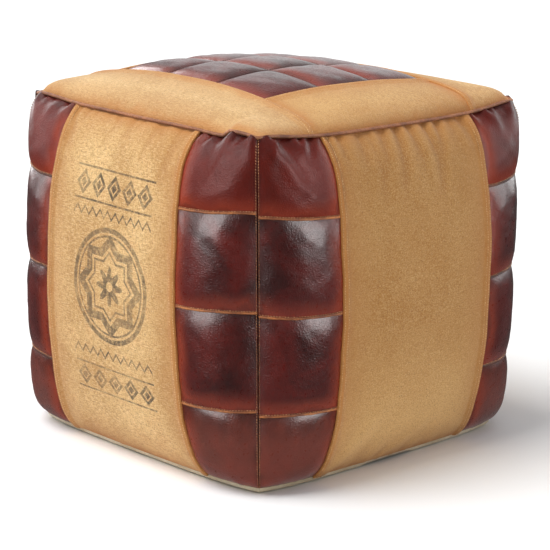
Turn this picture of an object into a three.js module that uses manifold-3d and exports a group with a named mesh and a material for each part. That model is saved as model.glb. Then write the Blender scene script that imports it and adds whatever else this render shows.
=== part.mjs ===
// A cube floor pouf: leather tiles at the corners and in the middle of the top, canvas panels
// between them, a piped top edge, and a base that zips open over a calico liner and its filling.
// Millimetres, +Z up. The origin is on the floor under the middle of the base. -Y is the front.
import * as THREE from "three";
import { mergeVertices } from "three/addons/utils/BufferGeometryUtils.js";
import Module from "manifold-3d";

const wasm = await Module();
wasm.setup();

// ---- Driving dimensions of the stuffed cover ----
// A half-width or a bulge is given at the base seam, at its widest height and at the top seam,
// and the power says how late it leaves the widest value on the way to a seam.
const CORNER = { base: 184, middle: 197, top: 183, widest: 0.5, power: 12 };
const BULGE = { base: 8, middle: 37, top: 10, widest: 0.525, power: 2.4 };
const PINCH = { base: 3, middle: 8, top: -3.5, widest: 0.5, power: 3 };
const CANVAS_HALF = { base: 114, middle: 112, top: 108, widest: 0.5, power: 2 };
const BULGE_POWER = 5; // across a face: flat over the canvas, falling to the corner seams
const PINCH_POWER = 8;
const BASE_SEAM_Z = 6;
const TOP_CORNER_Z = 378;
const TOP_SAG = { frontRear: 8.5, leftRight: 13, power: 5 }; // how far mid-edge hangs lower
const CORNER_TUCK = { drop: 5.5, power: 12 };
const CROWN = { height: 49, power: 0.56, lean: -0.15 }; // the dome leans a little to the front
const ROWS = [0, 0.2326, 0.5163, 0.7928, 1]; // seams between a strip's four tiles
const PATCH_HALF = 0.625; // the quilted patch, as a share of the top's half-width
const TOP_TILES = 3;

// ---- Thickness of each layer, and the clearance between pieces ----
const LEATHER = 3; // with its backing cloth
const CANVAS = 2.4;
const CALICO = 1.8; // the base cloth
const LINER = 1.2;
const GAP = 0.35;
const LINER_GAP = 2; // the liner hangs clear of the cover and of the slider
const SIDE_PILLOW = 8; // how far a tile swells beyond its seams
const TOP_PILLOW = 6;
const PIPING = { radius: 3, clearance: 2, rise: 30, stepsPerFace: 16, joinStep: 14 };
const LINER_MOUTH = { length: 120, y: -110, width: 1 }; // a slit in the bottom, to fill it through

// ---- Base and zip ----
const VALLEY = { depth: 8, flatTo: 17, endsAt: 45 }; // the zip seam draws the base in
const BASE_ROLL = 0.88; // share of the half-width where the base starts to curve up
const ZIP_HALF = 150;
const ZIP_END = 5; // length over which the base halves close up past the zip
const SLOT_HALF = 6.5;
const TAPE = { inner: 0.9, outer: 16, z: 10.35, thick: 0.6 };
const COIL = { inner: 0.9, outer: 3.4, z: 7.6, height: 2.4 };
const SLIDER = { length: 15, width: 10.4, lip: 1.1, x: 140, plate: 1.2, z: 6 };
const SLIDER_TOP = { length: 13, width: 9, z: 11.3 };
const SLIDER_WEB = { length: 5, width: 1 }; // between the coil rows
const BRIDGE = { length: 9, width: 3, thick: 1, opening: 1.8 };
const PULL = { length: 25, width: 7, thick: 1.3, eye: 6.4, bar: 1.2, arm: 1.6 };

const FACES = ["front", "right", "rear", "left"];
const LEATHER_BROWN = { color: 0x5a1a12, roughness: 0.35, metalness: 0 };
const CANVAS_TAN = { color: 0xc79f66, roughness: 0.9, metalness: 0 };
const UNDYED = { color: 0xe2d2b0, roughness: 0.95, metalness: 0 };
const PIPING_BROWN = { color: 0x94603f, roughness: 0.6, metalness: 0 };
const ZIP_BROWN = { color: 0x6b4a2c, roughness: 0.7, metalness: 0 };
const BRASS = { color: 0xa9854f, roughness: 0.4, metalness: 1 };
const FILLING = { color: 0xf2efe6, roughness: 1, metalness: 0 };

const power = (x, p) => Math.abs(x) ** p;
const signedPower = (x, p) => Math.sign(x) * power(x, p);
const smooth = (x) => x * x * (3 - 2 * x);
const smoothStep = (x, from, to) => smooth(THREE.MathUtils.clamp((x - from) / (to - from), 0, 1));

// One of the profiles above at height v, which is 0 at the base seam and 1 at the top seam.
function profile(shape, v) {
  const below = v < shape.widest;
  const away = below ? (shape.widest - v) / shape.widest : (v - shape.widest) / (1 - shape.widest);
  const end = below ? shape.base : shape.top;
  return shape.middle - (shape.middle - end) * away ** shape.power;
}

// The plan coordinate along a for a point (a, b) of the square -1..1, at height v.
function plan(a, b, v, inset) {
  const pinch = profile(PINCH, v);
  const bulge = profile(BULGE, v) * (1 - power(b, BULGE_POWER));
  const round = pinch * (1 - power(b, PINCH_POWER));
  return (profile(CORNER, v) - inset) * a - pinch * signedPower(a, PINCH_POWER) + a * (bulge + round);
}

// Height of the top seam's surface over (a, b), before the crown is added.
function seamHeight(a, b) {
  const tuck = (x) => CORNER_TUCK.drop * power(x, CORNER_TUCK.power);
  const along = (x, sag) => TOP_CORNER_Z - sag * (1 - power(x, TOP_SAG.power)) - tuck(x);
  const corner = along(1, 0);
  return along(a, TOP_SAG.frontRear) + along(b, TOP_SAG.leftRight) - corner;
}

// A point of the cover's side, with s running -1..1 along the face and the layer inset from it.
function sidePoint(face, s, v, inset = 0) {
  const out = plan(1, s, v, inset);
  const along = plan(s, 1, v, inset);
  const turn = (face * Math.PI) / 2;
  const x = along * Math.cos(turn) + out * Math.sin(turn);
  const y = along * Math.sin(turn) - out * Math.cos(turn);
  const [a, b] = face % 2 ? [1, s] : [s, 1];
  const low = BASE_SEAM_Z + inset;
  return new THREE.Vector3(x, y, low + (seamHeight(a, b) - inset - low) * v);
}

// A point of the domed top.
function topPoint(a, b, inset = 0) {
  const dome = ((1 - a * a) * (1 - b * b)) ** CROWN.power * (1 + CROWN.lean * b);
  const z = seamHeight(a, b) - inset + CROWN.height * dome;
  return new THREE.Vector3(plan(a, b, 1, inset), plan(b, a, 1, inset), z);
}

// A point of the base, flat on the floor, rising to the side seam and to the zip.
function basePoint(a, b, inset = 0) {
  const x = plan(a, b, 0, inset);
  const y = plan(b, a, 0, inset);
  const roll = smoothStep(Math.max(Math.abs(a), Math.abs(b)), BASE_ROLL, 1);
  const valley = 1 - smoothStep(Math.abs(y), VALLEY.flatTo, VALLEY.endsAt);
  const z = BASE_SEAM_Z * roll + VALLEY.depth * valley * (1 - roll);
  return new THREE.Vector3(x, y, z + inset);
}

// ---- Closed plates and shells from point grids ----
const steps = (from, to, count) =>
  Array.from({ length: count + 1 }, (_, i) => from + ((to - from) * i) / count);

function geometryOf(points, triangles) {
  const geometry = new THREE.BufferGeometry();
  geometry.setFromPoints(points);
  geometry.setIndex(triangles);
  return geometry;
}

// A closed plate between two surfaces over the same grid, its outer side where us cross vs points.
function plate(us, vs, outer, inner) {
  const points = [outer, inner].flatMap((at) => vs.flatMap((v) => us.map((u) => at(u, v))));
  const triangles = [];
  const id = (layer, i, j) => (layer * vs.length + j) * us.length + i;
  const quad = (a, b, c, d) => triangles.push(a, b, c, a, c, d);
  const [lastU, lastV] = [us.length - 1, vs.length - 1];
  for (let j = 0; j < lastV; j++)
    for (let i = 0; i < lastU; i++) {
      quad(id(0, i, j), id(0, i + 1, j), id(0, i + 1, j + 1), id(0, i, j + 1));
      quad(id(1, i, j), id(1, i, j + 1), id(1, i + 1, j + 1), id(1, i + 1, j));
    }
  for (let i = 0; i < lastU; i++) {
    quad(id(0, i, 0), id(1, i, 0), id(1, i + 1, 0), id(0, i + 1, 0));
    quad(id(0, i, lastV), id(0, i + 1, lastV), id(1, i + 1, lastV), id(1, i, lastV));
  }
  for (let j = 0; j < lastV; j++) {
    quad(id(0, 0, j), id(0, 0, j + 1), id(1, 0, j + 1), id(1, 0, j));
    quad(id(0, lastU, j), id(1, lastU, j), id(1, lastU, j + 1), id(0, lastU, j + 1));
  }
  return geometryOf(points, triangles);
}

// The whole puffed cube at one inset, as a closed surface of six coarse grids.
function closedCube(inset) {
  const across = [-1, -0.93, -0.75, -0.4, 0, 0.4, 0.75, 0.93, 1];
  const up = [0, 0.07, 0.25, 0.5, 0.75, 0.93, 1];
  const overZip = [-1, -0.93, -0.75, -0.25, -0.1, 0.1, 0.25, 0.75, 0.93, 1];
  const points = [];
  const triangles = [];
  const sheet = (us, vs, at) => {
    const first = points.length;
    points.push(...vs.flatMap((v) => us.map((u) => at(u, v))));
    for (let j = 0; j < vs.length - 1; j++)
      for (let i = 0; i < us.length - 1; i++) {
        const [a, b] = [first + j * us.length + i, first + (j + 1) * us.length + i];
        triangles.push(a, a + 1, b + 1, a, b + 1, b);
      }
  };
  // Each side is spaced as the base and the top are along its edge, so that all edges are shared.
  FACES.forEach((_, face) => {
    const us = face % 2 ? overZip : across;
    sheet(us, up, (s, v) => sidePoint(face, s, v, inset));
  });
  sheet(across, overZip, (a, b) => topPoint(a, b, inset));
  sheet(across, overZip, (a, b) => basePoint(-a, b, inset));
  return mergeVertices(geometryOf(points, triangles).deleteAttribute("normal"), 1e-3);
}

// ---- manifold-3d, for the pieces that are cut or joined ----
function solid(geometry) {
  const bare = new THREE.BufferGeometry();
  bare.setAttribute("position", geometry.getAttribute("position"));
  bare.setIndex(geometry.index);
  const merged = mergeVertices(bare, 1e-4);
  const mesh = new wasm.Mesh({
    numProp: 3,
    vertProperties: new Float32Array(merged.attributes.position.array),
    triVerts: new Uint32Array(merged.index.array),
  });
  return new wasm.Manifold(mesh);
}

function geometryFrom(manifold) {
  const mesh = manifold.getMesh();
  const geometry = new THREE.BufferGeometry();
  geometry.setAttribute("position", new THREE.BufferAttribute(mesh.vertProperties, 3));
  geometry.setIndex(new THREE.BufferAttribute(mesh.triVerts, 1));
  return geometry;
}

// A box from its lowest and highest corners.
function boxBetween(low, high) {
  const size = high.map((h, i) => h - low[i]);
  const middle = high.map((h, i) => (h + low[i]) / 2);
  return new THREE.BoxGeometry(...size).translate(...middle);
}

function named(name, geometry, look) {
  geometry.computeVertexNormals();
  const mesh = new THREE.Mesh(geometry, new THREE.MeshStandardMaterial(look));
  mesh.name = name;
  return mesh;
}

// ---- Leather tiles ----
// Swell of a tile over its own square, nothing at its seams.
const swell = (u, v) => (1 - power(2 * u - 1, 3)) * (1 - power(2 * v - 1, 3));

// Moves a surface's point out along the surface's own normal.
function raised(at, u, v, height) {
  const step = 1e-3;
  const alongU = at(u + step, v).sub(at(u - step, v));
  const alongV = at(u, v + step).sub(at(u, v - step));
  return at(u, v).add(alongU.cross(alongV).setLength(height));
}

// One tile over the unit square, where at(u, v, inset) is the cover's surface.
function tile(name, at, columns, rows, pillow) {
  const outer = (u, v) => {
    const height = pillow * swell(u, v);
    return height > 0 ? raised((p, q) => at(p, q, 0), u, v, height) : at(u, v, 0);
  };
  const inner = (u, v) => at(u, v, LEATHER);
  return named(name, plate(steps(0, 1, columns), steps(0, 1, rows), outer, inner), LEATHER_BROWN);
}

const canvasEdge = (v) => profile(CANVAS_HALF, v) / profile(CORNER, v);
const SIDE_GAP = GAP / CORNER.middle;
const ROW_GAP = GAP / TOP_CORNER_Z;

// The strips of four tiles at a face's two edges, the top tile numbered 1.
function stripTiles(face) {
  const tiles = [];
  for (const [side, sign] of [["left", -1], ["right", 1]])
    for (let row = 0; row < ROWS.length - 1; row++) {
      const at = (u, w, inset) => {
        const v = THREE.MathUtils.lerp(ROWS[row] + ROW_GAP, ROWS[row + 1] - ROW_GAP, w);
        const [near, far] = [canvasEdge(v) + SIDE_GAP, 1 - SIDE_GAP];
        const s = sign > 0 ? THREE.MathUtils.lerp(near, far, u) : -THREE.MathUtils.lerp(far, near, u);
        return sidePoint(face, s, v, inset);
      };
      const number = ROWS.length - 1 - row;
      tiles.push(tile(`${FACES[face]}_${side}_tile_${number}`, at, 4, 4, SIDE_PILLOW));
    }
  return tiles;
}

// The quilted patch in the middle of the top, numbered by row from the front and column from the left.
function patchTiles() {
  const tiles = [];
  const size = (2 * PATCH_HALF) / TOP_TILES;
  for (let row = 0; row < TOP_TILES; row++)
    for (let column = 0; column < TOP_TILES; column++) {
      const start = (index) => -PATCH_HALF + index * size + SIDE_GAP;
      const at = (u, v, inset) =>
        topPoint(start(column) + u * (size - 2 * SIDE_GAP), start(row) + v * (size - 2 * SIDE_GAP), inset);
      tiles.push(tile(`top_tile_${row + 1}_${column + 1}`, at, 3, 3, TOP_PILLOW));
    }
  return tiles;
}

// ---- Canvas panels ----
function sideCanvas(face) {
  const at = (u, v, inset) => sidePoint(face, u * (canvasEdge(v) - SIDE_GAP), v, inset);
  const vs = [ROW_GAP, 0.05, 0.12, ...steps(0.22, 0.82, 6), 0.9, 0.96, 1 - ROW_GAP];
  const us = steps(-1, 1, 6);
  const sheet = plate(us, vs, (u, v) => at(u, v, 0), (u, v) => at(u, v, CANVAS));
  return named(`${FACES[face]}_canvas_panel`, sheet, CANVAS_TAN);
}

// The top's border: the front and rear strips run the full width, the other two fit between them.
function topStrips() {
  const edge = 1 - SIDE_GAP;
  const inner = PATCH_HALF + SIDE_GAP;
  const across = [-edge, -0.97, -0.9, -0.78, -PATCH_HALF, -0.3, 0, 0.3, PATCH_HALF, 0.78, 0.9, 0.97, edge];
  const outward = [inner, 0.72, 0.82, 0.91, 0.97, edge];
  const inward = outward.map((x) => -x).reverse();
  const between = steps(-PATCH_HALF + SIDE_GAP, PATCH_HALF - SIDE_GAP, 6);
  const strip = (name, as, bs) =>
    named(name, plate(as, bs, (a, b) => topPoint(a, b), (a, b) => topPoint(a, b, CANVAS)), CANVAS_TAN);
  return [
    strip("top_strip_front", across, inward),
    strip("top_strip_rear", across, outward),
    strip("top_strip_left", inward, between),
    strip("top_strip_right", outward, between),
  ];
}

// ---- Piping round the top seam, its two ends meeting on the front face ----
function topPiping() {
  const { radius, clearance, rise, stepsPerFace, joinStep } = PIPING;
  const up = new THREE.Vector3(0, 0, 1);
  const total = stepsPerFace * FACES.length;
  const points = steps(joinStep, joinStep + total, total).map((step) => {
    const face = Math.floor(step / stepsPerFace) % FACES.length;
    const s = (2 * (step % stepsPerFace)) / stepsPerFace - 1;
    const seam = sidePoint(face, s, 1);
    const square = new THREE.Vector3(0, -1, 0).applyAxisAngle(up, (face * Math.PI) / 2);
    const diagonal = seam.clone().setZ(0).normalize();
    const outward = square.lerp(diagonal, power(s, 4)).normalize();
    const tilt = THREE.MathUtils.degToRad(rise);
    const away = outward.multiplyScalar(Math.cos(tilt)).addScaledVector(up, Math.sin(tilt));
    return seam.addScaledVector(away, radius + clearance);
  });
  points[total].lerp(points[total - 1], 0.05);
  const section = new THREE.Shape().absarc(0, 0, radius, 0, 2 * Math.PI);
  const geometry = new THREE.ExtrudeGeometry(section, {
    steps: total,
    curveSegments: 4,
    bevelEnabled: false,
    extrudePath: new THREE.CatmullRomCurve3(points),
  });
  return named("top_piping", geometry, PIPING_BROWN);
}

// ---- Base, in two halves with the zip between them ----
function baseHalf(name, sign) {
  const halfWidth = plan(1, 0, 0, 0);
  const zipEnd = (ZIP_HALF + ZIP_END) / halfWidth;
  const seamEdge = GAP / halfWidth;
  const slotEdge = SLOT_HALF / halfWidth;
  const zipSide = [1, 0.94, BASE_ROLL, zipEnd, ZIP_HALF / halfWidth, 0.4];
  const as = [...zipSide.map((a) => -a), 0, ...zipSide.toReversed()].map((a) => a * (1 - SIDE_GAP));
  const yLines = [VALLEY.flatTo, 24, 31, 38, VALLEY.endsAt].map((y) => y / halfWidth);
  const depth = [slotEdge, ...yLines, BASE_ROLL, 0.94, 1 - SIDE_GAP];
  const bs = sign > 0 ? depth : depth.map((b) => -b).reverse();
  const at = (a, b, inset) => {
    const atZip = Math.abs(b) === slotEdge;
    const closed = smoothStep(Math.abs(a), ZIP_HALF / halfWidth, zipEnd);
    const across = atZip ? sign * THREE.MathUtils.lerp(slotEdge, seamEdge, closed) : b;
    return basePoint(-a, across, inset);
  };
  const sheet = plate(as, bs, (a, b) => at(a, b, 0), (a, b) => at(a, b, CALICO));
  return named(name, sheet, UNDYED);
}

function zipTape(name, sign) {
  const ys = [sign * TAPE.inner, sign * TAPE.outer].sort((a, b) => a - b);
  const low = [-ZIP_HALF, ys[0], TAPE.z];
  return named(name, boxBetween(low, [ZIP_HALF, ys[1], TAPE.z + TAPE.thick]), ZIP_BROWN);
}

// One row of the coil, with the stops at its ends.
function zipCoil(name, sign) {
  const ys = [sign * COIL.inner, sign * COIL.outer].sort((a, b) => a - b);
  const low = [2 - ZIP_HALF, ys[0], COIL.z];
  return named(name, boxBetween(low, [ZIP_HALF - 2, ys[1], COIL.z + COIL.height]), ZIP_BROWN);
}

// A box round the slider's middle, from its length, width and lowest and highest points.
const sliderBox = (length, width, low, high, x = SLIDER.x, y = 0) =>
  boxBetween([x - length / 2, y - width / 2, low], [x + length / 2, y + width / 2, high]);

// Two plates joined by a web between the coil rows, with side lips and a bridge for the pull.
function zipSlider() {
  const { length, width, lip, x, plate: thick, z } = SLIDER;
  const top = SLIDER_TOP.z + thick;
  const webX = x + (SLIDER_TOP.length - SLIDER_WEB.length) / 2;
  const bridgeZ = z - BRIDGE.opening - BRIDGE.thick;
  const parts = [
    sliderBox(length, width, z, z + thick),
    sliderBox(SLIDER_TOP.length, SLIDER_TOP.width, SLIDER_TOP.z, top),
    sliderBox(SLIDER_WEB.length, SLIDER_WEB.width, z, top, webX),
    sliderBox(BRIDGE.length, BRIDGE.width, bridgeZ, bridgeZ + BRIDGE.thick),
  ];
  for (const side of [-1, 1]) {
    const postX = x + (side * (BRIDGE.length - BRIDGE.thick)) / 2;
    parts.push(sliderBox(length, lip, z, COIL.z + COIL.height, x, (side * (width - lip)) / 2));
    parts.push(sliderBox(BRIDGE.thick, BRIDGE.width, bridgeZ, z + thick / 2, postX));
  }
  const body = parts.map(solid).reduce((all, next) => all.add(next));
  return named("zip_slider", geometryFrom(body), BRASS);
}

// A flat tab whose eye goes round the slider's bridge, with its bar in the bridge's opening.
function zipPull() {
  const { length, width, thick, eye, bar, arm } = PULL;
  const tab = new THREE.Shape();
  tab.moveTo(-bar / 2, -width / 2);
  tab.lineTo(length - width / 2, -width / 2);
  tab.absarc(length - width / 2, 0, width / 2, -Math.PI / 2, Math.PI / 2);
  tab.lineTo(-bar / 2, width / 2);
  const hole = new THREE.Path();
  hole.moveTo(bar / 2, arm - width / 2);
  hole.lineTo(bar / 2, width / 2 - arm);
  hole.lineTo(eye, width / 2 - arm);
  hole.lineTo(eye, arm - width / 2);
  tab.holes.push(hole);
  const geometry = new THREE.ExtrudeGeometry(tab, { depth: thick, bevelEnabled: false, curveSegments: 8 });
  const mesh = named("zip_pull", geometry.translate(0, 0, -thick / 2), BRASS);
  mesh.position.set(SLIDER.x, 0, SLIDER.z - BRIDGE.opening / 2);
  return mesh;
}

// ---- Inside: the liner with its filling mouth, and the filling ----
function insides() {
  const linerInset = LEATHER + LINER_GAP;
  const fillingInset = linerInset + LINER + GAP;
  const { length, y, width } = LINER_MOUTH;
  const mouth = boxBetween([-length / 2, y, 0], [length / 2, y + width, 2 * (linerInset + LINER)]);
  const bag = solid(closedCube(linerInset)).subtract(solid(closedCube(linerInset + LINER)));
  return [
    named("inner_liner", geometryFrom(bag.subtract(solid(mouth))), UNDYED),
    named("filling", closedCube(fillingInset), FILLING),
  ];
}

const cover = new THREE.Group();
FACES.forEach((_, face) => cover.add(...stripTiles(face), sideCanvas(face)));
cover.add(...patchTiles(), ...topStrips(), topPiping());
cover.add(baseHalf("base_panel_front", -1), baseHalf("base_panel_rear", 1));

const zip = new THREE.Group();
zip.add(zipTape("zip_tape_front", -1), zipTape("zip_tape_rear", 1));
zip.add(zipCoil("zip_coil_front", -1), zipCoil("zip_coil_rear", 1));
zip.add(zipSlider(), zipPull());

const pouf = new THREE.Group();
pouf.add(cover, zip, ...insides());

export default pouf;
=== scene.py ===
"""The looks of a stuffed cube pouf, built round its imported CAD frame.

Each leather tile and canvas piece is cut as a flat grid, sewn down along its seams, blown out with
Blender's cloth and then resampled as a finer surface with turned-in edges and hems. Welts, stitches,
piping, the base and the zip follow the same seams. Metres, +Z up, and -Y is the front.
"""

import math
from dataclasses import dataclass, field
from typing import Callable

import bpy
import numpy as np
from mathutils import Matrix, Vector


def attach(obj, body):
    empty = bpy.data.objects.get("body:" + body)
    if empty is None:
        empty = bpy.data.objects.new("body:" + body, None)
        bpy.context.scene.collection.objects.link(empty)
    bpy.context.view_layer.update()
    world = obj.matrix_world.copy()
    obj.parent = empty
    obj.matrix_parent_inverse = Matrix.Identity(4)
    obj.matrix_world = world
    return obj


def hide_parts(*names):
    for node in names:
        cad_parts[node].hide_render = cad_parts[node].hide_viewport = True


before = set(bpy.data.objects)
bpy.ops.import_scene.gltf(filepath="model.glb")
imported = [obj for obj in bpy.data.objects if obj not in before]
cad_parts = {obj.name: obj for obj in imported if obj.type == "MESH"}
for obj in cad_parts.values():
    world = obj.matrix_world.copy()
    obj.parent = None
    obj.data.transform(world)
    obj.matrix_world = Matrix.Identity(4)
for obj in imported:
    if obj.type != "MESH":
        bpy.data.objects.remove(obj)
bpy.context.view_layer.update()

# ---- The seams of the stuffed cover, on the same surface as the CAD pieces ----
CORNER = {"base": 0.184, "middle": 0.197, "top": 0.183, "widest": 0.5, "power": 12}
BULGE = {"base": 0.008, "middle": 0.037, "top": 0.010, "widest": 0.525, "power": 2.4}
PINCH = {"base": 0.003, "middle": 0.008, "top": -0.0035, "widest": 0.5, "power": 3}
CANVAS_HALF = {"base": 0.114, "middle": 0.112, "top": 0.108, "widest": 0.5, "power": 2}
BULGE_POWER = 5
PINCH_POWER = 8
BASE_SEAM_Z = 0.006
TOP_CORNER_Z = 0.378
TOP_SEAM_Z = 0.371  # its usual height along a face
SAG_FRONT_REAR = 0.0085
SAG_LEFT_RIGHT = 0.013
SAG_POWER = 5
CORNER_TUCK = 0.0055
TUCK_POWER = 12
CROWN = {"height": 0.048, "power": 0.56, "lean": -0.15}
SHOULDER = {"height": 0.0085, "power": 40}  # how two opposite top corners swell above their seam
ROWS = (0, 0.2326, 0.5163, 0.7928, 1)
PATCH_HALF = 0.625
TOP_TILES = 3
FACES = ("front", "right", "rear", "left")
STRIPS = ("front", "rear", "left", "right")
ALONG = np.linspace(0, 1, 60)  # places along a seam

# How this cover slumps: for a corner of the plan, its (x, y) shift at the base and at the top seam.
SLUMP = {
    (-1, -1): ((0.003, 0.003), (0.006, 0.006)),
    (1, -1): ((0.0, 0.0), (-0.0033, -0.0035)),
    (1, 1): ((-0.003, -0.003), (-0.001, -0.001)),
}
# How far below its neighbours the row seams of each column sit at their corner, face by face.
COLUMN_DROP = {("front", 1): 0.0, ("right", -1): 0.0045, ("right", 1): 0.001, ("rear", -1): -0.001}

# ---- Sewing ----
SEAM_GAP = 0.0002  # between two pieces at a seam
STITCH_MARGIN = 0.0036  # the flat strip above a tile's lower seam, under its row of stitches
TURN_IN = 0.004  # how far an edge is turned in at a seam
LUMP = {"size": 0.0005, "reach": 0.02}  # of the leather tiles, and how far in from their seams it grows
HEM_WIDTH = 0.0088
HEM_THICKNESS = 0.0021
HEM_ROWS = (0.0022, 0.0068)  # the two rows of stitches, from the hem's edge
HEM_DIP = {"depth": 0.0009, "width": 0.0008}  # under each row of stitches
HEM_CREASE = {"depth": 0.0006, "past": 0.0012, "width": 0.0009}  # in the canvas beside the hem
HEM_LIFT = 0.0003  # of the hemmed canvas as a whole
CORNER_ROW = 0.0012  # from a corner seam to its stitches
QUILT_ROW = 0.0016  # from a seam of the top patch to its stitches
# How ruddy each canvas piece is, from 0 to 1, or below 0 how far it has faded; above 0 it also sets the
# painted light at the piece's foot.
PANEL_TONE = {"front": 0.0, "right": 0.9, "rear": 0.4, "left": 0.3}
STRIP_TONE = {"front": -0.4, "right": 0.5, "rear": -0.2, "left": -0.5}
WELT_HALF = ((0.0011, -0.003), (0.0013, 0.0003), (0.0007, 0.0012))
WELT_SECTION = [(-x, y) for x, y in WELT_HALF] + list(reversed(WELT_HALF))
# Each kind of stitch: the pitch, length and radius of its threads.
TILE_STITCH = (0.0029, 0.002, 0.0005)
CORNER_STITCH = (0.0029, 0.0019, 0.00042)
HEM_STITCH = (0.0028, 0.0021, 0.00042)
QUILT_STITCH = (0.0031, 0.0022, 0.0004)
PIPING_RADIUS = 0.0019
PIPING_OUT = 0.0024  # from the top seam to the middle of the cord
PIPING_RISE = math.radians(30)
PIPING_JOIN = {"x": 0.147, "dip": -0.0032, "rise": 0.0022, "step": 0.0035, "reach": 0.034}

# ---- Cloth ----
CLOTH_FRAMES = 20
CLOTH = {
    "quality": 6,
    "mass": 0.2,
    "tension_stiffness": 60,
    "compression_stiffness": 60,
    "shear_stiffness": 30,
    "bending_stiffness": 0.6,
    "air_damping": 2,
    "pin_stiffness": 1,
    "use_pressure": True,
    "uniform_pressure_force": 4,
}
PRESSURE_SHARE = {"leather": 1, "canvas": 0.12}
FIRST_SWELL = {"leather": 0.005, "canvas": 0.0008}
MOST_SWELL = {"leather": 0.0145, "canvas": 0.005}

# ---- Grid lines of a finished piece ----
GRID_STEP = {"leather": 0.0027, "canvas": 0.0038}
HEM_STEPS = (0, 0.0002, 0.0006, 0.0012, 0.0022, 0.0033, 0.0045, 0.0057, 0.0068, 0.008, 0.0095, 0.0125)
TILE_STEPS = (0, 0.0007, 0.0018, 0.0036)

# ---- The printed ornament, on the front panel's flat cut: x from its middle, y up from its base seam ----
MEDALLION = {"x": 0.004, "y": 0.198, "radius": 0.060}
BAND_REACH = 0.0665  # half the width of the bands
INK_SOFTNESS = 0.0005  # half the width of the ink's soft edge
# The bands' middle heights and half heights, and how far apart their cells are.
LOZENGE_BANDS = ((0.302, 0.015), (0.090, 0.013))
LOZENGE_PITCH = 0.0265
ZIGZAG_BANDS = ((0.273, 0.0042), (0.121, 0.0042))
ZIGZAG_PITCH = 0.0133

# ---- Base, zip and inside ----
BASE_ROLL = 0.965  # where the base starts to curve up to its seam, as a share of the half width
VALLEY = {"depth": 0.008, "flat_to": 0.017, "ends_at": 0.045}
ZIP_HALF = 0.15
SLOT_HALF = 0.0062
SLOT_END = 0.012
COIL_PITCH = 0.002
COIL_WIRE = 0.00038
# One loop of the coil from the zip's middle line outwards and back, as (y, z).
COIL_LOOP = (
    (0.0012, 0.0078),
    (0.0023, 0.0077),
    (0.0031, 0.0082),
    (0.0031, 0.0094),
    (0.0023, 0.0098),
    (0.0013, 0.0097),
)
# How far each body inside is drawn in from the cover.
LINER_INSETS = (0.0118, 0.0130)
FILLING_INSET = 0.015
BODY_MIDDLE = (0, 0, 0.2)
BODY_REACH = 0.19

# ---- Camera and light ----
CAMERA = {"azimuth": 46.63, "elevation": 13.63, "distance": 2.479, "roll": 0.64}
CAMERA_TARGET = {"height": 0.1696, "right": 0.0066}
CAMERA_LENS = 144.6
FLOOR_HALF = 15
# The panels' directions, in degrees from the front towards the right, and how bright each is.
SOFTBOXES = ((-5, 9), (-55, 4), (-100, 6), (-140, 0.8), (180, 3), (145, 3.5), (98, 9))
SOFTBOX_SIZE = (1.3, 1.7)
SOFTBOX_RISE = 0.32
SOFTBOX_AWAY = 2.6


# ---- The surface ----
def unit(vectors):
    """The same directions, each of length one."""
    return vectors / np.maximum(np.linalg.norm(vectors, axis=-1, keepdims=True), 1e-12)


def smoothstep(x, low, high):
    """0 below low and 1 above high, with a soft rise between."""
    share = np.clip((x - low) / (high - low), 0, 1)
    return share * share * (3 - 2 * share)


def profile(shape, v):
    """One of the profiles above at height v, from 0 at the base seam to 1 at the top seam."""
    v = np.asarray(v, float)
    widest = shape["widest"]
    away = np.where(v < widest, (widest - v) / widest, (v - widest) / (1 - widest))
    end = np.where(v < widest, shape["base"], shape["top"])
    return shape["middle"] - (shape["middle"] - end) * away ** shape["power"]


def plan(a, b, v):
    """The plan coordinate along a, for a point (a, b) of the square -1..1 at height v."""
    pinch = profile(PINCH, v)
    bulge = profile(BULGE, v) * (1 - abs(b) ** BULGE_POWER)
    rounding = pinch * (1 - abs(b) ** PINCH_POWER)
    tuck = pinch * np.sign(a) * abs(a) ** PINCH_POWER
    return profile(CORNER, v) * a - tuck + a * (bulge + rounding)


def seam_height(a, b):
    """Height of the top seam's surface over (a, b), before the crown is added."""

    def edge(x, sag):
        return TOP_CORNER_Z - sag * (1 - abs(x) ** SAG_POWER) - CORNER_TUCK * abs(x) ** TUCK_POWER

    corner = TOP_CORNER_Z - CORNER_TUCK
    return edge(a, SAG_FRONT_REAR) + edge(b, SAG_LEFT_RIGHT) - corner


def slumped(points):
    """Points of the even cover, moved to where this one's slumped corners have them."""
    rise = np.clip(points[..., 2:] / TOP_CORNER_Z, 0, 1)
    moved = points.copy()
    for (x_side, y_side), (low, high) in SLUMP.items():
        diagonal = (x_side * points[..., 0] + y_side * points[..., 1]) / (2 * CORNER["top"])
        near = smoothstep(diagonal, 0.4, 1)[..., None]
        moved[..., :2] += near * (np.array(low) * (1 - rise) + np.array(high) * rise)
    at_seam = np.exp(-(((points[..., 2] - TOP_SEAM_Z) / 0.02) ** 2))
    in_front = smoothstep(-points[..., 1], 0.14, 0.178)
    moved[..., 2] += at_seam * in_front * join_kink(points[..., 0])
    return moved


def join_kink(x):
    """Height that the front top seam gains at x, where the piping's two ends meet in a step."""
    past = x - PIPING_JOIN["x"]
    fade = np.exp(-((past / PIPING_JOIN["reach"]) ** 2))
    stepped = smoothstep(past, -PIPING_JOIN["step"], PIPING_JOIN["step"])
    return fade * (PIPING_JOIN["dip"] + (PIPING_JOIN["rise"] - PIPING_JOIN["dip"]) * stepped)


def body_normal(points):
    """Outward directions of the stuffed cube as a whole, which turn evenly round its edges."""
    from_middle = (points - (0, 0, 0.195)) / (0.21, 0.21, 0.2)
    return unit(np.sign(from_middle) * abs(from_middle) ** 7)


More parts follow.
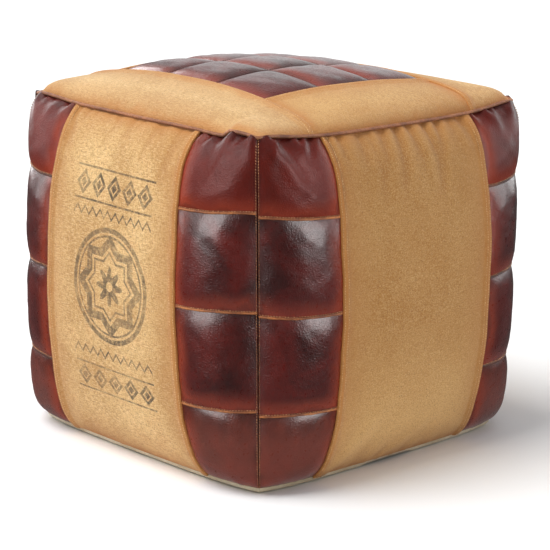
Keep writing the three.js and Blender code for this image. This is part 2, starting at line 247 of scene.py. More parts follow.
def side_points(face, s, v):
    """Points of the cover's side: s runs -1..1 along the face, and v 0..1 up it."""
    s, v = np.broadcast_arrays(np.asarray(s, float), np.asarray(v, float))
    one = np.ones_like(s)
    out = plan(one, s, v)
    along = plan(s, one, v)
    turn = face * math.pi / 2
    x = along * math.cos(turn) + out * math.sin(turn)
    y = along * math.sin(turn) - out * math.cos(turn)
    height = seam_height(one, s) if face % 2 else seam_height(s, one)
    return slumped(np.stack([x, y, BASE_SEAM_Z + (height - BASE_SEAM_Z) * v], axis=-1))


def top_points(a, b):
    """Points of the domed top over the square -1..1."""
    a, b = np.broadcast_arrays(np.asarray(a, float), np.asarray(b, float))
    top = np.ones_like(a)
    dome = np.clip((1 - a * a) * (1 - b * b), 0, 1) ** CROWN["power"] * (1 + CROWN["lean"] * b)
    inland = (1 - abs(a) ** SHOULDER["power"]) * (1 - abs(b) ** SHOULDER["power"])
    shoulder = np.clip(a * b, 0, 1) * inland
    z = seam_height(a, b) + CROWN["height"] * dome + SHOULDER["height"] * shoulder
    return slumped(np.stack([plan(a, b, top), plan(b, a, top), z], axis=-1))


def wobble(x, seed, size):
    """A smooth hand-made unevenness of about that size along x metres, the same for each seed."""
    waves = ((0.127, 1.0), (0.055, 0.4), (0.023, 0.15))
    total = 0
    for i, (length, share) in enumerate(waves):
        total = total + share * np.sin(2 * math.pi * x / length + seed * (3.7 + i))
    return size * total


def canvas_edge(face, side, v):
    """Where the canvas meets the leather on one side of a face, as s."""
    uneven = wobble(v * TOP_CORNER_Z, 1 + face * 2 + side, 0.0007)
    return side * (profile(CANVAS_HALF, v) + uneven) / profile(CORNER, v)


def seam_row(face, side, row, s):
    """Height v of the seam under a row of side tiles, which differs a little in each column."""
    if row in (0, len(ROWS) - 1):
        return np.full_like(s, ROWS[row])
    seed = face * 2 + (side > 0)
    drop = COLUMN_DROP.get((FACES[face], side), 0.0015 * math.cos(seed * 2.3))
    near_corner = np.clip((abs(s) - 0.5) / 0.5, 0, 1)
    uneven = wobble(s * CORNER["middle"], seed * 5 + row, 0.0005)
    return ROWS[row] + (uneven - drop * (0.35 + 0.65 * near_corner)) / TOP_CORNER_Z


# ---- Cut pieces ----
@dataclass
class Fold:
    """A soft ridge that leaves one edge of a piece, start metres along that edge."""

    edge: str
    start: float
    slant: float  # sideways run for each metre from the edge
    reach: float
    width: float
    height: float


def puckers(edge, length, pitch, reach, height, seed):
    """Gathers along an edge, none quite like the next."""
    draw = np.random.default_rng(seed)
    folds = []
    for k in range(int(length / pitch)):
        start = (k + 0.5 + draw.uniform(-0.35, 0.35)) * pitch
        slant = draw.uniform(-0.35, 0.35)
        far = reach * draw.uniform(0.45, 1.0)
        high = height * draw.uniform(0.35, 1.0)
        folds.append(Fold(edge, start, slant, far, pitch * draw.uniform(0.24, 0.36), high))
    return folds


def fold_height(folds, away):
    """Height of all the folds at each point, from the distances to the piece's edges."""
    height = np.zeros_like(away["u0"])
    for fold in folds:
        along = away["u0"] if fold.edge[0] == "w" else away["w0"]
        deep = away[fold.edge]
        aside = (along - fold.start - fold.slant * deep) / (fold.width * (1 + 0.6 * deep / fold.reach))
        fade = np.clip(1 - deep / fold.reach, 0, 1) ** 1.5 * np.clip(deep / 0.002, 0, 1)
        height += fold.height * fade * (np.exp(-(aside**2)) - 0.45 * np.exp(-((aside / 2) ** 2)))
    return height


@dataclass
class Cut:
    """A piece of the cover. at(u, w) is its seam surface over the unit square, w upwards or rearwards."""

    name: str
    kind: str
    at: Callable
    columns: int
    rows: int
    ease: float  # spare material, as a share of the size between the seams
    gather: tuple = (0, 0)  # more spare width at the lower and the upper edge
    margin: float = 0  # height of the flat strip along the lower edge
    hems: tuple = ()  # edges with a hem, of "u0", "u1", "w0" and "w1"
    folds: list = field(default_factory=list)
    inner: str = ""  # for a side tile, its edge beside the canvas
    tone: float = 0  # how ruddy its canvas is, which also scales the painted light at its foot, or how much painted light lightens its leather
    finish: str = ""  # its material, if not the usual one of its kind
    grid: np.ndarray = None  # its points once it has been blown out


def tile_cut(face, side, row):
    """One tile of the column on one side of a face, row 0 being the lowest."""
    half = CORNER["middle"]

    def at(u, w):
        near_edge = (u if side > 0 else 1 - u) * (1 - SEAM_GAP / half)
        guess = ROWS[row] + (ROWS[row + 1] - ROWS[row]) * w
        edge = canvas_edge(face, side, guess)
        s = edge + (side * (1 - SEAM_GAP / half) - edge) * near_edge
        low, high = (seam_row(face, side, r, s) for r in (row, row + 1))
        gap = SEAM_GAP / TOP_CORNER_Z
        return side_points(face, s, low + gap + (high - low - 2 * gap) * w)

    sides = {-1: "left", 1: "right"}
    name = f"{FACES[face]}_{sides[side]}_tile_{len(ROWS) - 1 - row}"
    made = Cut(name, "leather", at, 24, 26, ease=0.056, margin=STITCH_MARGIN if row else 0)
    made.inner = "u0" if side > 0 else "u1"
    seed = 10 * face + 3 * side + 40
    if row == len(ROWS) - 2:
        made.gather = (0, 0.03)
        made.finish = "dull leather"
        made.folds = puckers("w1", 0.085, 0.0165, 0.052, 0.0060, seed)
        made.folds.append(corner_fold(face, side))
    elif row == 0:
        made.gather = (0.02, 0)
        # Painted light: the lowest tiles are drawn lighter.
        made.tone = 1
        made.folds = puckers("w0", 0.08, 0.016, 0.035, 0.0014, seed)
    else:
        made.folds = puckers("w1", 0.09, 0.022, 0.03, 0.0006, seed + row)
    return made


def corner_fold(face, side):
    """The broad fold that runs down from the top of a corner across its uppermost tile."""
    strong = (FACES[face], side) in (("right", -1), ("left", 1), ("rear", -1))
    height = 0.0078 if strong else 0.0030
    start, slant = (0.080, -0.75) if side > 0 else (0.006, 0.75)
    return Fold("w1", start, slant, 0.085, 0.0085, height)


def patch_cut(row, column):
    """One tile of the top patch, from the front left."""
    size = 2 * PATCH_HALF / TOP_TILES
    gap = SEAM_GAP / CORNER["top"]

    def at(u, w):
        a = -PATCH_HALF + column * size + gap + (size - 2 * gap) * u
        b = -PATCH_HALF + row * size + gap + (size - 2 * gap) * w
        return top_points(a, b)

    return Cut(f"top_tile_{row + 1}_{column + 1}", "leather", at, 22, 22, ease=0.05)


def panel_cut(face):
    """The canvas between a face's two columns, gathered at both seams and creased across."""
    def at(u, w):
        left, right = canvas_edge(face, -1, w), canvas_edge(face, 1, w)
        return side_points(face, left + (right - left) * u, w)

    made = Cut(f"{FACES[face]}_canvas_panel", "canvas", at, 44, 72, ease=0.002, hems=("u0", "u1"))
    made.gather = (0.006, 0.008)
    made.tone = PANEL_TONE[FACES[face]]
    made.finish = "printed canvas" if face == 0 else ""
    width = 2 * CANVAS_HALF["top"]
    loose = 1 if face % 2 else 0.5
    made.folds = puckers("w1", width, 0.019, 0.115, -0.0060 * loose, 70 + face)
    made.folds += puckers("w0", width, 0.026, 0.065, 0.0026 * loose, 80 + face)
    made.folds.append(Fold("w0", 0.010, 0.75, 0.15, 0.012, 0.0026 * loose))
    made.folds.append(Fold("w0", 0.085, 1.25, 0.10, 0.010, 0.0020 * loose))
    return made


def strip_cut(where):
    """The canvas strip on one side of the top patch."""
    inner = PATCH_HALF
    spans = {
        "front": ((-1, 1), (-1, -inner), "w1"),
        "rear": ((-1, 1), (inner, 1), "w0"),
        "left": ((-1, -inner), (-inner, inner), "u1"),
        "right": ((inner, 1), (-inner, inner), "u0"),
    }
    (a0, a1), (b0, b1), hem = spans[where]

    def at(u, w):
        return top_points(a0 + (a1 - a0) * u, b0 + (b1 - b0) * w)

    long = where in ("front", "rear")
    columns, rows = (74, 15) if long else (15, 48)
    made = Cut(f"top_strip_{where}", "canvas", at, columns, rows, ease=0.004, hems=(hem,))
    outer = {"w1": "w0", "w0": "w1", "u1": "u0", "u0": "u1"}[hem]
    made.tone = STRIP_TONE[where]
    length = 2 * CORNER["top"] * (1 if long else inner)
    made.folds = puckers(outer, length, 0.021, 0.03, 0.0009, seed=len(where) + 90)
    return made


def unit_grid(us, ws):
    """The grid of places with these columns and rows."""
    return np.meshgrid(np.asarray(us, float), np.asarray(ws, float))


def normals(grid):
    """Outward unit normals of a grid of points."""
    return unit(np.cross(np.gradient(grid, axis=1), np.gradient(grid, axis=0)))


def run_lengths(grid, axis):
    """Distance along each grid line from its start, with the same shape as the grid."""
    steps = np.linalg.norm(np.diff(grid, axis=axis), axis=2)
    start = np.zeros_like(steps[:1] if axis == 0 else steps[:, :1])
    return np.cumsum(np.concatenate([start, steps], axis=axis), axis=axis)


def flat_cut(cut, seam):
    """The flat piece that was cut for a seam surface, with its ease and gathers."""
    across, up = run_lengths(seam, 1), run_lengths(seam, 0)
    w = np.linspace(0, 1, seam.shape[0])[:, None]
    low, high = cut.gather
    spare = 1 + cut.ease + low * (1 - w) ** 4 + high * w**4
    x = (across - across[:, -1:] / 2) * spare
    y = up.mean(axis=1, keepdims=True) * (1 + cut.ease) + 0 * x
    return np.stack([x, y, 0 * x], axis=-1)


def swollen(seam, height):
    """The seam surface, pushed out in the middle by that height."""
    u, w = unit_grid(np.linspace(0, 1, seam.shape[1]), np.linspace(0, 1, seam.shape[0]))
    pillow = (1 - (2 * u - 1) ** 4) * (1 - (2 * w - 1) ** 4)
    return seam + normals(seam) * (height * pillow)[..., None]


def held_points(cut, seam):
    """True where a cut's grid is sewn down: its edges, and the rows of its stitched margin."""
    held = np.zeros(seam.shape[:2], bool)
    held[[0, -1]] = True
    held[:, [0, -1]] = True
    if cut.margin:
        held[: 1 + round(cut.margin / (run_lengths(seam, 0)[-1].mean() / cut.rows))] = True
    return held


def sewn_body(cuts, seams, starts):
    """All the cuts as one mesh: where they are sewn, how they were cut flat, and what holds or blows them."""
    points = np.concatenate([s.reshape(-1, 3) for s in starts])
    faces = []
    first = 0
    for seam in seams:
        faces += grid_faces(*seam.shape[:2], first)
        first += seam[..., 0].size
    mesh = bpy.data.meshes.new("sewn")
    mesh.from_pydata(points.tolist(), [], faces)
    body = bpy.data.objects.new("sewn", mesh)
    bpy.context.scene.collection.objects.link(body)
    body.shape_key_add(name="sewn")
    flat = np.concatenate([flat_cut(c, s).reshape(-1, 3) for c, s in zip(cuts, seams)])
    body.shape_key_add(name="flat").data.foreach_set("co", flat.astype(np.float32).ravel())
    held = np.concatenate([held_points(c, s).ravel() for c, s in zip(cuts, seams)])
    body.vertex_groups.new(name="held").add(np.flatnonzero(held).tolist(), 1, "REPLACE")
    kinds = np.concatenate([np.full(s[..., 0].size, c.kind) for c, s in zip(cuts, seams)])
    blown = body.vertex_groups.new(name="blown")
    for kind, share in PRESSURE_SHARE.items():
        blown.add(np.flatnonzero(kinds == kind).tolist(), share, "REPLACE")
    return body


def blown_out(body):
    """The points of a sewn body after its cloth has run, and takes the body away."""
    cloth = body.modifiers.new("Cloth", "CLOTH")
    for key, value in CLOTH.items():
        setattr(cloth.settings, key, value)
    cloth.settings.vertex_group_mass = "held"
    cloth.settings.vertex_group_pressure = "blown"
    cloth.settings.rest_shape_key = body.data.shape_keys.key_blocks["flat"]
    cloth.settings.effector_weights.gravity = 0
    cloth.collision_settings.use_collision = False
    cloth.point_cache.frame_start = 1
    cloth.point_cache.frame_end = CLOTH_FRAMES
    scene = bpy.context.scene
    for number in range(1, CLOTH_FRAMES + 1):
        scene.frame_set(number)
    evaluated = body.evaluated_get(bpy.context.evaluated_depsgraph_get())
    points = np.empty(len(body.data.vertices) * 3, np.float32)
    evaluated.data.vertices.foreach_get("co", points)
    bpy.data.objects.remove(body)
    scene.frame_set(1)
    return points.reshape(-1, 3).astype(float)


def inflate(cuts):
    """Blows all the cuts out at once as cloth, and stores each one's grid of points."""
    seams = [c.at(*unit_grid(np.linspace(0, 1, c.columns + 1), np.linspace(0, 1, c.rows + 1))) for c in cuts]
    starts = [swollen(s, FIRST_SWELL[c.kind]) for c, s in zip(cuts, seams)]
    result = blown_out(sewn_body(cuts, seams, starts))
    first = 0
    for cut, seam in zip(cuts, seams):
        size = seam[..., 0].size
        moved = result[first : first + size].reshape(seam.shape) - seam
        first += size
        far = np.maximum(np.linalg.norm(moved, axis=2, keepdims=True), 1e-9)
        most = MOST_SWELL[cut.kind]
        cut.grid = seam + moved * (most * np.tanh(far / most) / far)


# ---- Grids and meshes ----
def grid_faces(rows, columns, first=0):
    """Quads of a grid of rows x columns points, facing out."""
    starts = (first + j * columns + i for j in range(rows - 1) for i in range(columns - 1))
    return [(k, k + 1, k + 1 + columns, k + columns) for k in starts]


def cubic_weights(count, at):
    """Catmull-Rom weights of count evenly spaced points, at places from 0 to 1."""
    x = np.clip(np.asarray(at, float), 0, 1) * (count - 1)
    start = np.clip(np.floor(x).astype(int), 0, count - 2)
    t = x - start
    shares = {
        -1: -t + 2 * t**2 - t**3,
        0: 2 - 5 * t**2 + 3 * t**3,
        1: t + 4 * t**2 - 3 * t**3,
        2: t**3 - t**2,
    }
    weights = np.zeros((len(x), count))
    for offset, share in shares.items():
        np.add.at(weights, (np.arange(len(x)), np.clip(start + offset, 0, count - 1)), share / 2)
    return weights


def resampled(grid, us, ws):
    """A grid's smooth surface on other grid lines."""
    across, up = cubic_weights(grid.shape[1], us), cubic_weights(grid.shape[0], ws)
    return np.einsum("ai,bj,ijk->abk", up, across, grid)


def sampled(grid, us, ws):
    """Points of a grid's smooth surface at pairs of places."""
    across, up = cubic_weights(grid.shape[1], us), cubic_weights(grid.shape[0], ws)
    return np.einsum("ai,aj,ijk->ak", up, across, grid)


def spaced(length, step, near, far):
    """Places 0..1 along a length, at exact distances from the start and the end and even steps between."""
    near, far = np.asarray(near, float), np.asarray(far, float)
    low, high = near.max(), length - far.max()
    middle = np.linspace(low, high, max(2, round((high - low) / step) + 1))
    return np.unique(np.concatenate([near, middle, length - far]).round(7)) / length


def mesh_piece(name, points, faces, material):
    """A smooth mesh object in the scene."""
    mesh = bpy.data.meshes.new(name)
    mesh.from_pydata(np.asarray(points, float).tolist(), [], faces)
    mesh.validate()
    mesh.materials.append(material)
    mesh.polygons.foreach_set("use_smooth", [True] * len(mesh.polygons))
    piece = bpy.data.objects.new(name, mesh)
    bpy.context.scene.collection.objects.link(piece)
    return piece


def add_mark(piece, label, values):
    """Stores one number for each point, for the materials to read."""
    attribute = piece.data.attributes.new(label, "FLOAT", "POINT")
    attribute.data.foreach_set("value", values.astype(np.float32).ravel())


def surface_piece(name, points, material, flat, marks):
    """A grid of points as a piece with its edges turned in, its flat places as UV and its marks."""
    rings = 2
    pad = ((rings, rings), (rings, rings))
    wide = (*pad, (0, 0))
    inward = np.pad(np.zeros(points.shape[:2]), pad, constant_values=TURN_IN)
    inward[1:-1, 1:-1] *= 0.2
    inward[rings:-rings, rings:-rings] = 0
    out = np.pad(body_normal(points), wide, mode="edge")
    full = np.pad(points, wide, mode="edge") - out * inward[..., None]
    piece = mesh_piece(name, full.reshape(-1, 3), grid_faces(*full.shape[:2]), material)
    mesh = piece.data
    corner = np.empty(len(mesh.loops), np.int32)
    mesh.loops.foreach_get("vertex_index", corner)
    flat = np.pad(flat, wide, mode="edge").reshape(-1, 2)[corner]
    mesh.uv_layers.new(name="flat").data.foreach_set("uv", flat.astype(np.float32).ravel())
    for label, values in marks.items():
        add_mark(piece, label, np.pad(values, pad, mode="edge"))
    return piece


def hem_height(x):
    """Height of a folded and stitched hem, x metres in from its edge."""
    rounded = np.sqrt(np.clip(x / 0.0009, 0, 1)) / (1 + np.exp((x - HEM_WIDTH) / 0.0007))

    def groove(at, depth, width):
        return depth * np.exp(-(((x - at) / width) ** 2))

    dips = sum(groove(row, HEM_DIP["depth"], HEM_DIP["width"]) for row in HEM_ROWS)
    crease = groove(HEM_WIDTH + HEM_CREASE["past"], HEM_CREASE["depth"], HEM_CREASE["width"])
    return HEM_THICKNESS * rounded - dips - crease + HEM_LIFT


def lumps(points, size):
    """Gentle unevenness of that size where the filling presses from inside."""
    x, y, z = (points[..., k] for k in range(3))
    coarse = np.sin(105 * x + 2 * np.sin(70 * z)) * np.sin(95 * z + 2 * np.sin(80 * y)) * np.cos(100 * y)
    return size * (coarse + 0.25 * np.sin(210 * (x + y) + 2 * np.sin(150 * z)) * np.cos(190 * z))


def distances(grid):
    """Distances along the surface to the four edges: u0, u1, w0 and w1."""
    across, up = run_lengths(grid, 1), run_lengths(grid, 0)
    return {"u0": across, "u1": across[:, -1:] - across, "w0": up, "w1": up[-1:] - up}


def mean_size(grid):
    """Width and height of a grid, along its surface."""
    away = distances(grid)
    return away["u0"][:, -1].mean(), away["w0"][-1].mean()


def dressed(cut, material):
    """Makes the finished piece for a cut, on its finer grid."""
    width, height = mean_size(cut.grid)
    near = {e: HEM_STEPS if e in cut.hems else TILE_STEPS for e in ("u0", "u1", "w0", "w1")}
    step = GRID_STEP[cut.kind]
    us = spaced(width, step, near["u0"], near["u1"])
    ws = spaced(height, step, near["w0"], near["w1"])
    points = resampled(cut.grid, us, ws)
    away = distances(points)
    folded = fold_height(cut.folds, away)
    relief = folded
    if cut.hems:
        from_hem = np.minimum.reduce([away[e] for e in cut.hems])
        relief = relief * np.clip(from_hem / HEM_WIDTH, 0.3, 1) + hem_height(from_hem)
    edge = np.minimum.reduce(list(away.values()))
    if cut.kind == "leather":
        relief = relief + lumps(points, LUMP["size"]) * np.clip(edge / LUMP["reach"], 0, 1)
    points = points + normals(points) * relief[..., None]
    middle = away["u0"][:, -1:] / 2
    flat = np.stack([away["u0"] - middle, away["w0"]], axis=-1)
    marks = {
        "edge": edge,
        "drop": away["w1"],
        "rise": away["w0"],
        "side": away.get(cut.inner, edge + 0.05),
        "tone": np.full_like(edge, cut.tone),
        # The fold heights also give the canvas its painted shade in the valleys and painted highlight on the
        # ridges.
        "folded": folded * 1000,  # in millimetres
    }
    piece = surface_piece(f"{cut.name}_cloth", points, material, flat, marks)
    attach(piece, "cover")
    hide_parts(cut.name)


# ---- Lines of stitches, welts and cords ----
@dataclass
class Line:
    """A line on the cover: its points, and the outward normal at each."""

    points: np.ndarray
    out: np.ndarray

    def evenly(self, step, trim):
        """The same line with a point every step metres, and the ends trimmed off."""
        run = np.concatenate([[0], np.cumsum(np.linalg.norm(np.diff(self.points, axis=0), axis=1))])
        count = max(2, round((run[-1] - 2 * trim) / step) + 1)
        at = np.linspace(trim, run[-1] - trim, count)

        def pick(rows):
            return np.stack([np.interp(at, run, rows[:, k]) for k in range(3)], axis=1)

        return Line(pick(self.points), unit(pick(self.out)))

    def lifted(self, height):
        """The same line, that far out from the surface."""
        return Line(self.points + self.out * height, self.out)

    def frames(self, closed=False):
        """Unit tangents, and the directions across the line and up from it."""
        if closed:
            run = np.roll(self.points, -1, axis=0) - np.roll(self.points, 1, axis=0)
        else:
            run = np.gradient(self.points, axis=0)
        tangent = unit(run)
        across = unit(np.cross(self.out, tangent))
        return tangent, across, np.cross(tangent, across)


def line_on(grid, us, ws):
    """The line through places of a grid's surface."""
    us, ws = np.broadcast_arrays(np.asarray(us, float), np.asarray(ws, float))
    return Line(sampled(grid, us, ws), unit(sampled(normals(grid), us, ws)))


def tube_faces(count, sides, closed=False):
    """Quads of a tube of count rings, each with that many sides."""
    faces = []
    for i in range(count if closed else count - 1):
        here, after = i * sides, (i + 1) % count * sides
        for j in range(sides):
            k = (j + 1) % sides
            faces.append((here + j, here + k, after + k, after + j))
    return faces


def swept(line, section, closed=False):
    """Points and faces of a closed section carried along a line."""
    _, across, up = line.frames(closed)
    section = np.asarray(section, float)
    rings = line.points[:, None] + across[:, None] * section[:, :1] + up[:, None] * section[:, 1:]
    count, sides = rings.shape[:2]
    faces = tube_faces(count, sides, closed)
    if not closed:
        faces += [tuple(range(sides))[::-1], tuple(range((count - 1) * sides, count * sides))]
    return rings.reshape(-1, 3), [f[::-1] for f in faces]


def circle(radius, sides, start=0.0):
    """A round section for a swept line."""
    turns = [start + 2 * math.pi * k / sides for k in range(sides)]
    return [(radius * math.cos(turn), radius * math.sin(turn)) for turn in turns]


def joined(parts):
    """Several (points, faces) as one."""
    points, faces, first = [], [], 0
    for part_points, part_faces in parts:
        points.append(part_points)
        faces += [tuple(first + i for i in f) for f in part_faces]
        first += len(part_points)
    return np.concatenate(points), faces


def stitches(lines, pitch, length, radius, slant=0.0):
    """Short arched threads along lines, each going into the cloth at both ends."""
    parts = []
    for line in lines:
        line = line.evenly(pitch, trim=0.002)
        tangent, across, up = line.frames()
        along = tangent * math.cos(slant) + across * math.sin(slant)
        sideways = across * math.cos(slant) - tangent * math.sin(slant)
        rings = []
        for x, z, r in ((-0.5, -1.2, 0.7), (-0.3, 0.45, 1), (0.3, 0.45, 1), (0.5, -1.2, 0.7)):
            centre = line.points + along * x * length + up * z * radius
            for turn in range(4):
                angle = turn * math.pi / 2
                side, rise = math.cos(angle) * r * radius, math.sin(angle) * r * radius
                rings.append(centre + sideways * side + up * rise)
        quads = tube_faces(4, 4)
        parts += [(thread, quads) for thread in np.stack(rings, axis=1)]
    return joined(parts)


def trim_piece(name, made, material):
    """A mesh of trim that stands for no CAD node of its own."""
    piece = mesh_piece(name, *made, material)
    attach(piece, "cover")


# ---- Materials ----
class Graph:
    """The nodes of a material or world. A value is a number, a colour or another node's output."""

    def __init__(self, name, kind="materials", shader="Principled BSDF"):
        self.owner = getattr(bpy.data, kind).new(name)
        self.owner.use_nodes = True
        self.tree = self.owner.node_tree
        self.shader = self.tree.nodes[shader]
        self.places = self.node("ShaderNodeTexCoord").outputs

    def node(self, kind, inputs=(), **settings):
        """A new node, with its settings and the values of its inputs."""
        made = self.tree.nodes.new(kind)
        for key, value in settings.items():
            setattr(made, key, value)
        for key, value in dict(inputs).items():
            self.set(made.inputs[key], value)
        return made

    def set(self, socket, value):
        """Links a node's output to a socket, or sets the socket to a number or colour."""
        if isinstance(value, bpy.types.NodeSocket):
            self.tree.links.new(value, socket)
        elif isinstance(value, tuple) and len(value) == 3 and socket.type == "RGBA":
            socket.default_value = (*value, 1)
        else:
            socket.default_value = value

    def math(self, operation, a, b=0.0, c=0.0, clamp=False):
        made = self.node("ShaderNodeMath", {0: a, 1: b, 2: c}, operation=operation, use_clamp=clamp)
        return made.outputs[0]

    def span(self, value, low, high, start=0.0, end=1.0):
        """value taken from low..high to start..end, smoothly and held at both ends."""
        inputs = {"Value": value, "From Min": low, "From Max": high, "To Min": start, "To Max": end}
        return self.node("ShaderNodeMapRange", inputs, interpolation_type="SMOOTHSTEP").outputs["Result"]

    def mix(self, share, a, b):
        made = self.node("ShaderNodeMix", data_type="RGBA")
        for number, value in ((0, share), (6, a), (7, b)):
            self.set(made.inputs[number], value)
        return made.outputs[2]

    def layered(self, colour, *layers):
        """A colour under layers of (value, low, high, most, shade), each at its most where value is high."""
        for value, low, high, most, shade in layers:
            colour = self.mix(self.span(value, low, high, 0.0, most), colour, shade)
        return colour

    def noise(self, scale, detail=3.0, rough=0.55, place=None, warp=0.0):
        inputs = {"Scale": scale, "Detail": detail, "Roughness": rough, "Distortion": warp}
        inputs["Vector"] = place or self.places["Object"]
        return self.node("ShaderNodeTexNoise", inputs).outputs["Fac"]

    def attribute(self, name):
        return self.node("ShaderNodeAttribute", attribute_name=name).outputs["Fac"]

    def relief(self, *bumps):
        """The normal of several bumps over each other, each (height, distance, strength)."""
        normal = None
        for height, distance, strength in bumps:
            made = self.node("ShaderNodeBump", {"Height": height, "Distance": distance, "Strength": strength})
            if normal is not None:
                self.set(made.inputs["Normal"], normal)
            normal = made.outputs["Normal"]
        return normal

    def finish(self, colour, roughness, *bumps, **constants):
        """Sets the shader's inputs and gives back the finished material."""
        self.set(self.shader.inputs["Base Color"], colour)
        self.set(self.shader.inputs["Roughness"], roughness)
        if bumps:
            self.set(self.shader.inputs["Normal"], self.relief(*bumps))
        for key, value in constants.items():
            self.set(self.shader.inputs[key.replace("_", " ")], value)
        return self.owner


def rgb(red, green, blue):
    """An sRGB colour of 0..255 as the linear colour that nodes take."""

    def linear(value):
        share = value / 255
        return share / 12.92 if share <= 0.04045 else ((share + 0.055) / 1.055) ** 2.4

    return linear(red), linear(green), linear(blue)


def leather_material(name, polish, coat, rough=0.27, rust=0.0):
    """Oxblood leather, redder towards its lower seam and beside the canvas, nearly black below its upper seam
    with burnish and painted shade, and lightened with painted light on the lowest tiles.
    """
    g = Graph(name)
    cloud = g.noise(16, detail=4, warp=0.8)
    fine = g.noise(60, detail=4, warp=0.4)
    colour = g.mix(g.span(cloud, 0.28, 0.70), rgb(52, 6, 4), rgb(94, 17, 8))
    colour = g.mix(rust, colour, rgb(120, 36, 20))
    shift = g.math("MULTIPLY_ADD", cloud, 0.034, -0.017)

    def from_edge(mark):
        return g.math("ADD", g.attribute(mark), shift)

    colour = g.layered(
        colour,
        # Painted light: the lowest tiles are lighter.
        (g.attribute("tone"), 0.0, 1.0, 0.3, rgb(166, 88, 68)),
        # Redder towards the lower seam and beside the canvas.
        (from_edge("rise"), 0.024, 0.0, 0.75, rgb(146, 52, 28)),
        (from_edge("side"), 0.024, 0.0, 0.85, rgb(150, 52, 24)),
        (from_edge("edge"), 0.006, 0.0, 0.4, rgb(58, 16, 9)),
    )
    # Burnish and painted shade: darker just below the upper seam, under the welt.
    dark = g.math("MULTIPLY", g.span(from_edge("drop"), 0.0, 0.036, 0.6, 0.0), g.span(fine, 0.15, 0.62))
    colour = g.mix(dark, colour, rgb(40, 7, 5))
    rubbed = g.noise(30, detail=4, rough=0.6)
    colour = g.layered(colour, (rubbed, 0.42, 0.72, 0.12, rgb(40, 7, 5)))
    inputs = {"Vector": g.places["Object"], "Scale": 760.0}
    cells = g.node("ShaderNodeTexVoronoi", inputs, feature="SMOOTH_F1")
    return g.finish(
        colour,
        g.span(g.noise(240, detail=3), 0.3, 0.75, rough, rough + 0.13),
        (cells.outputs["Distance"], 0.00036, 0.8),
        (g.noise(340, detail=3), 0.00045, 0.5),
        (g.noise(75, detail=4, warp=1.4), 0.0010, 0.15),
        Coat_Weight=coat,
        Coat_Roughness=0.2,
        Specular_IOR_Level=polish,
    )


def threads(g, flat, across, along):
    """Irregular threads that run along one direction of the flat cut, for the two scales per metre."""
    stretched = g.node("ShaderNodeMapping", {"Vector": flat, "Scale": (across, along, 1.0)})
    return g.noise(1.0, detail=2.5, rough=0.6, place=stretched.outputs["Vector"])


def canvas_material(name="washed_canvas", ornament=False):
    """Washed slub canvas: tan, blotched, redder at its hems, with threads that show as short streaks; painted
    shade and highlight on its folds, and painted light at the foot of its ruddier pieces.
    """
    g = Graph(name)
    flat = g.node("ShaderNodeUVMap", uv_map="flat").outputs["UV"]
    blotch = g.noise(13, detail=4, rough=0.62)
    ruddy = g.noise(26, detail=4, rough=0.65)
    weft = threads(g, flat, 150, 720)
    warp = threads(g, flat, 720, 180)
    tone = g.attribute("tone")
    folded = g.attribute("folded")
    grain = g.noise(760, detail=2)
    specks = g.noise(520, detail=1)
    uneven = g.math("MULTIPLY_ADD", g.noise(45, detail=3), 0.016, -0.008)
    from_edge = g.math("ADD", g.attribute("edge"), uneven)
    # Painted light: the lower part of each ruddier piece is lightened.
    painted_foot_light = g.math("MULTIPLY", g.span(g.attribute("rise"), 0.0, 0.18, 0.9, 0.0), tone, clamp=True)
    colour = g.layered(
        rgb(194, 148, 88),
        (blotch, 0.32, 0.68, 1.0, rgb(232, 194, 134)),
        (ruddy, 0.5, 0.72, 0.4, rgb(196, 134, 72)),
        (weft, 0.5, 0.68, 0.42, rgb(250, 224, 176)),
        (weft, 0.5, 0.32, 0.5, rgb(158, 108, 60)),
        (warp, 0.5, 0.32, 0.5, rgb(158, 108, 60)),
        (tone, 0.0, 1.0, 0.75, rgb(174, 118, 50)),
    )
    colour = g.layered(
        g.mix(painted_foot_light, colour, rgb(236, 190, 124)),
        (tone, 0.0, -1.0, 0.5, rgb(246, 222, 180)),
        # Painted shade in the fold valleys and a painted highlight on the fold ridges.
        (folded, 0.0, -0.8, 0.4, rgb(160, 104, 48)),
        (folded, 0.1, 1.4, 0.2, rgb(240, 204, 148)),
        (grain, 0.5, 0.36, 0.3, rgb(150, 98, 42)),
        (grain, 0.5, 0.64, 0.22, rgb(248, 218, 160)),
        (specks, 0.67, 0.75, 0.5, rgb(110, 72, 40)),
        (from_edge, 0.055, 0.0, 0.5, rgb(182, 126, 70)),
        (from_edge, 0.016, 0.0, 0.6, rgb(190, 122, 58)),
    )
    if ornament:
        axes = g.node("ShaderNodeSeparateXYZ", {"Vector": flat}).outputs
        colour = g.mix(ink(g, axes["X"], axes["Y"]), colour, rgb(66, 54, 42))
    return g.finish(
        colour,
        0.92,
        (weft, 0.0012, 0.8),
        (warp, 0.0008, 0.5),
        (g.noise(48, detail=3, warp=0.8), 0.0016, 0.3),
        Sheen_Weight=0.15,
        Sheen_Roughness=0.5,
        Specular_IOR_Level=0.2,
    )


def ink(g, x, y):
    """How much ink is left at each point, of a medallion between bands of lozenges and zigzags."""
    x = g.math("SUBTRACT", x, MEDALLION["x"])
    shapes = [medallion(g, x, g.math("SUBTRACT", y, MEDALLION["y"]))]
    shapes += [lozenges(g, x, y, *band) for band in LOZENGE_BANDS]
    shapes += [zigzag(g, x, y, *band) for band in ZIGZAG_BANDS]
    worn = g.span(g.noise(150, detail=5, rough=0.7), 0.34, 0.58, 0.35, 1.0)
    faded = g.span(g.noise(24, detail=3), 0.3, 0.65, 0.6, 1.0)
    return g.math("MULTIPLY", g.math("MULTIPLY", union(g, shapes), worn), g.math("MULTIPLY", faded, 0.9))


def union(g, shapes):
    """Several shapes of ink as one."""
    whole = shapes[0]
    for shape in shapes[1:]:
        whole = g.math("MAXIMUM", whole, shape)
    return whole


